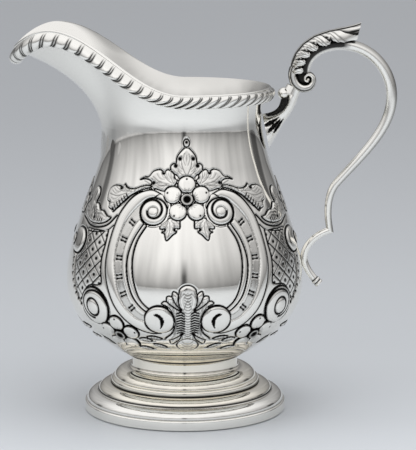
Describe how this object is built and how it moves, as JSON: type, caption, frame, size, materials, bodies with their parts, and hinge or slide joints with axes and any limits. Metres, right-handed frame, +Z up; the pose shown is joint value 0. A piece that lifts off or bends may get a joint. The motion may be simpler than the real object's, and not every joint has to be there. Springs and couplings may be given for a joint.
{
  "type": "cream jug",
  "caption": "Pear-shaped silver cream jug with a broad pouring lip, gadrooned rim, chased bowl, stepped round foot and a leaf-capped scroll handle, for pouring cream or milk.",
  "frame": {"origin": "centre of the foot's resting face", "axes": "+Z up along the bowl's axis, +X towards the handle, -X towards the pouring lip, +Y to complete a right-handed frame"},
  "size_m": [0.1427, 0.0888, 0.1458],
  "materials": {
    "body_silver": "polished sterling silver sheet, raised and chased, with darkened recesses",
    "rim_silver": "polished sterling silver gadroon wire with darkened furrows",
    "foot_silver": "bright polished spun sterling silver",
    "handle_silver": "bright polished sterling silver rod",
    "cast_silver": "cast and chased sterling silver with darkened recesses"
  },
  "bodies": {
    "root": {"body": "body_silver", "gadroon_rim": "rim_silver", "foot": "foot_silver", "foot_wire": "foot_silver", "handle_loop": "handle_silver", "lower_scroll": "handle_silver", "leaf_cap": "cast_silver", "volute": "cast_silver", "upper_bracket": "cast_silver"}
  },
  "joints": []
}
